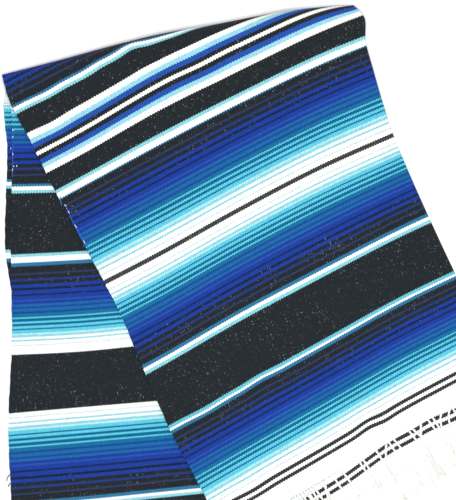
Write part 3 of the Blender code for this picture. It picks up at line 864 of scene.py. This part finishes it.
def fringe(name, left, right, support, seed, material, shown=()):
    """The loose warp yarn at one end of a ply, from left to right: strands of two twisted plies."""
    chance = np.random.default_rng(seed)
    width = np.linalg.norm(right - left)
    way = (right - left) / width
    out = np.array([way[1], -way[0]])
    t = np.linspace(0, 1, STRAND_POINTS)
    paths = []
    for index, (root, lean) in enumerate(strand_plan(width, chance, shown)):
        length = FRINGE_LENGTH + chance.normal(0, LENGTH_JITTER)
        outward = t * (length + STRAND_TUCK) - STRAND_TUCK
        swing = STRAND_WAVE * chance.normal()
        wave = swing * np.sin(t * math.pi * HALF_WAVES + chance.uniform(0, WAVE_STARTS)) * t
        along = root + lean * (1 - np.exp(-np.maximum(outward, 0) / LEAN_LENGTH)) + wave
        along = np.clip(along, STRAND_MARGIN, width - STRAND_MARGIN)
        place = left + way * along[:, None] + out * outward[:, None]
        lift = CROSSING_LIFT * (index % 2) * smooth(outward / LIFT_RISE)
        lift = lift * (1 - smooth((outward - LIFT_END) / LIFT_FADE))
        middle = np.column_stack([place, support(place) + PLY_OFFSET + PLY_RADIUS + lift])
        heading = np.gradient(middle, axis=0)
        heading /= np.linalg.norm(heading, axis=1, keepdims=True)
        side = np.cross(heading, [0.0, 0.0, 1.0])
        side /= np.linalg.norm(side, axis=1, keepdims=True)
        up = np.cross(side, heading)
        apart = PLY_OFFSET * (1 + FRAY * smooth((t - FRAY_START) / FRAY_SPAN))
        start_turn = chance.uniform(0, 2 * math.pi)
        for ply in (0, 1):
            turn = start_turn + ply * math.pi + outward / TWIST_LENGTH * 2 * math.pi
            flat = np.cos(turn) * apart
            high = np.sin(turn) * PLY_OFFSET
            paths.append(middle + side * flat[:, None] + up * high[:, None])
    return tubes_object(name, paths, PLY_RADIUS, PLY_SIDES, material)


# Yarns carried along the selvedges: colour, radius, and lines as a height and the x and y of
# places in the photograph
LOWER_TOP = 2 * CLOTH + GAP  # height of the lower panel's face
SELVEDGE_YARNS = {
    "selvedge_yarn_blue": ((62, 104, 196), 0.0008, (
        (LOWER_TOP, (
            (13.0, 127.0), (12.6, 137.0), (12.5, 150.0), (12.4, 163.0), (12.3, 171.0), (12.0, 177.0),
        )),
        (STACK_TOP, (
            (66.6, 204.5), (67.3, 209.0), (69.5, 214.0), (71.6, 219.0), (73.6, 223.0),
            (78.0, 231.0), (82.0, 238.0), (85.4, 243.5), (88.2, 248.4),
        )),
    )),
    "selvedge_yarn_white": ((240, 240, 244), 0.0009, (
        (LOWER_TOP, ((12.7, 129.2), (12.6, 131.0))),
        (LOWER_TOP, ((12.6, 136.0), (12.5, 138.2))),
        (LOWER_TOP, ((12.5, 153.0), (12.5, 155.0))),
        (LOWER_TOP, ((12.3, 168.6), (12.1, 171.0))),
        (LOWER_TOP, ((13.4, 165.5), (13.6, 166.8))),
        (LOWER_TOP, ((16.4, 165.0), (16.6, 166.6))),
        (STACK_TOP, ((64.6, 204.6), (65.9, 206.2))),
        (STACK_TOP, ((68.2, 211.0), (69.4, 213.2))),
        (STACK_TOP, ((74.8, 224.8), (76.6, 228.0))),
        (STACK_TOP, ((83.6, 240.6), (85.1, 243.6))),
        (LOWER_TOP - PITCH, ((10.2, 147.6), (10.4, 149.0))),
    )),
    "selvedge_yarn_teal": ((64, 132, 160), 0.0009, (
        (STACK_TOP, ((60.2, 196.4), (60.3, 199.0), (60.9, 202.5), (61.6, 205.4))),
    )),
    "selvedge_yarn_black": ((44, 46, 52), 0.0010, (
        (LOWER_TOP - PITCH, ((11.8, 473.6), (10.5, 474.5), (8.0, 476.5), (6.6, 479.5), (6.3, 481.5))),
        (LOWER_TOP - PITCH, ((11.8, 483.4), (10.0, 484.0), (8.6, 485.0), (8.2, 487.5))),
    )),
}
YARN_SIDES = 8
YARN_STEPS = 4  # at least, in each line
YARN_SPACING = 0.0008  # between the points of a carried yarn
YARN_WAVE = 0.0003  # how far it rises and sinks
YARN_WAVELENGTH = 0.0075


def dyed_material(name, colour):
    """Plain dyed yarn."""
    nodes = Nodes(name)
    nodes.shader.inputs["Base Color"].default_value = (*linear_colour(colour), 1.0)
    nodes.shader.inputs["Roughness"].default_value = CLOTH_ROUGHNESS
    nodes.shader.inputs["Specular IOR Level"].default_value = CLOTH_SPECULAR
    return nodes.material


def make_selvedge_yarns():
    """The yarns carried along the selvedges."""
    pieces = []
    for name, (colour, radius, lines) in SELVEDGE_YARNS.items():
        paths = []
        for level, corners in lines:
            flat = (np.array(corners) - [PHOTO_LEFT, PHOTO_TOP]) * [PIXEL, -PIXEL]
            length = length_of(flat)
            steps = max(YARN_STEPS, int(length / YARN_SPACING))
            share = np.linspace(0, 1, steps + 1)
            middle = spline_point(flat, share)
            wave = np.sin(share * length / YARN_WAVELENGTH * 2 * math.pi) * YARN_WAVE
            paths.append(np.column_stack([middle, level + radius / 2 + wave]))
        pieces.append(tubes_object(name, paths, radius, YARN_SIDES, dyed_material(name, colour)))
    return pieces


def end_corners(left_edge, right_edge, left_share, right_share):
    """Left and right corners of a ply's end."""
    left = spline_point(left_edge, np.array([left_share]))[0]
    right = spline_point(right_edge, np.array([right_share]))[0]
    return left, right


def make_fringes(material):
    """The four fringes, by name."""
    longest = length_of(LOWER_LEFT_EDGE)
    past_left = 1 + SECOND_OVERHANG / length_of(TOP_LEFT_EDGE)
    past_right = 1 + SECOND_OVERHANG / length_of(TOP_RIGHT_EDGE)

    def on_top_half(level):
        return lambda place: 2 * PITCH * (1 - ramp(place)) + level

    top = end_corners(TOP_LEFT_EDGE, TOP_RIGHT_EDGE, 1, 1)
    second = end_corners(TOP_LEFT_EDGE, TOP_RIGHT_EDGE, past_left, past_right)
    lower = end_corners(LOWER_LEFT_EDGE, LOWER_RIGHT_EDGE, 1, 1)
    past = 1 + BOTTOM_OVERHANG / longest
    bottom = end_corners(BOTTOM_LEFT_EDGE, LOWER_RIGHT_EDGE, past, past)

    def flat_at(level):
        return lambda place: np.full(len(place), level)

    ends = {  # corners, height of what the strands lie on, strands listed one by one
        "upper": (top, on_top_half(PITCH + STRAND_CLEAR), UPPER_STRANDS),
        "second": (second, on_top_half(STRAND_CLEAR), ()),
        "lower": (lower, flat_at(PITCH), ()),
        "bottom": (bottom, flat_at(STRAND_CLEAR), ()),
    }
    return {
        name: fringe(name + "_fringe_yarn", *corners, support, FRINGE_SEEDS[name], material, shown)
        for name, (corners, support, shown) in ends.items()
    }


# Camera, floor and lights
CAMERA_DISTANCE = 5.0
SENSOR_WIDTH = 36.0
CLIP_END = 30.0
FLOOR_TONE = 0.93
FLOOR_HALF = 6.0
FLOOR_DROP = 0.0002  # below the surface that the blanket lies on
WORLD_LIGHT = 0.72
LAMP_PLACE = (0.0, -0.15, 3.4)
LAMP_AIM = (0.1, 0.0, 0.0)
LAMP_SIZE = 1.2
LAMP_POWER = 80.0


def add_camera():
    """A camera straight above the photograph's middle."""
    middle = np.array([PHOTO_WIDTH / 2 - PHOTO_LEFT, PHOTO_TOP - PHOTO_HEIGHT / 2]) * PIXEL
    camera = bpy.data.cameras.new("camera")
    camera.sensor_width = SENSOR_WIDTH
    camera.lens = camera.sensor_width * CAMERA_DISTANCE / (PHOTO_HEIGHT * PIXEL)
    camera.clip_end = CLIP_END
    thing = add_object("camera", camera)
    thing.location = Vector(np.array([*middle, CAMERA_DISTANCE + STACK_TOP]) + DRAWING_TO_WORLD)
    bpy.context.scene.camera = thing


def add_light(name, place, size, power, aim):
    """A large soft lamp that faces a point."""
    lamp = bpy.data.lights.new(name, "AREA")
    lamp.shape = "DISK"
    lamp.size = size
    lamp.energy = power
    thing = add_object(name, lamp)
    thing.location = Vector(place)
    thing.rotation_euler = (Vector(aim) - Vector(place)).to_track_quat("-Z", "Y").to_euler()


def add_studio():
    """The pale floor, the soft lamp and the white surroundings."""
    nodes = Nodes("floor_white")
    nodes.shader.inputs["Base Color"].default_value = (FLOOR_TONE, FLOOR_TONE, FLOOR_TONE, 1.0)
    nodes.shader.inputs["Roughness"].default_value = 0.9
    nodes.shader.inputs["Specular IOR Level"].default_value = 0.1
    mesh = bpy.data.meshes.new("floor")
    half = FLOOR_HALF
    corners = [(-half, -half, 0), (half, -half, 0), (half, half, 0), (-half, half, 0)]
    mesh.from_pydata(corners, [], [(0, 1, 2, 3)])
    mesh.materials.append(nodes.material)
    floor = add_object("floor", mesh)
    floor.location.z = cad_low.z - FLOOR_DROP
    world = bpy.data.worlds.new("studio")
    world.use_nodes = True
    background = world.node_tree.nodes["Background"]
    background.inputs[0].default_value = (1.0, 1.0, 1.0, 1.0)
    background.inputs[1].default_value = WORLD_LIGHT
    bpy.context.scene.world = world
    add_light("top_light", LAMP_PLACE, LAMP_SIZE, LAMP_POWER, LAMP_AIM)
    bpy.context.scene.view_settings.view_transform = "Standard"
    bpy.context.scene.view_settings.look = "None"


def drawing_to_world():
    """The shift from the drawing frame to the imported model's frame, from the lower panel's box."""
    low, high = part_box("lower_panel")
    longest = length_of(LOWER_LEFT_EDGE)
    right = plan(LOWER_LEFT_EDGE, LOWER_RIGHT_EDGE, np.array([1.0]), np.array([LOWER_START / longest]))[0]
    return np.array([high.x - right[0], low.y - LOWER_LEFT_EDGE[-1][1], 0.0])


DRAWING_TO_WORLD = drawing_to_world()
weave = cloth_material()
yarn = yarn_material()
outer_cloth = outer_sheet(weave)
inner_cloth = inner_sheet(weave)
fringes = make_fringes(yarn)
selvedge_yarns = make_selvedge_yarns()

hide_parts("upper_panel", "bottom_ply")
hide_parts("second_ply", "lower_panel", "fold_core")
for piece in (outer_cloth, inner_cloth, *selvedge_yarns):
    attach(piece, "root")
for place_name, piece in fringes.items():
    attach(piece, "root")
    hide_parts(place_name + "_fringe")
add_camera()
add_studio()
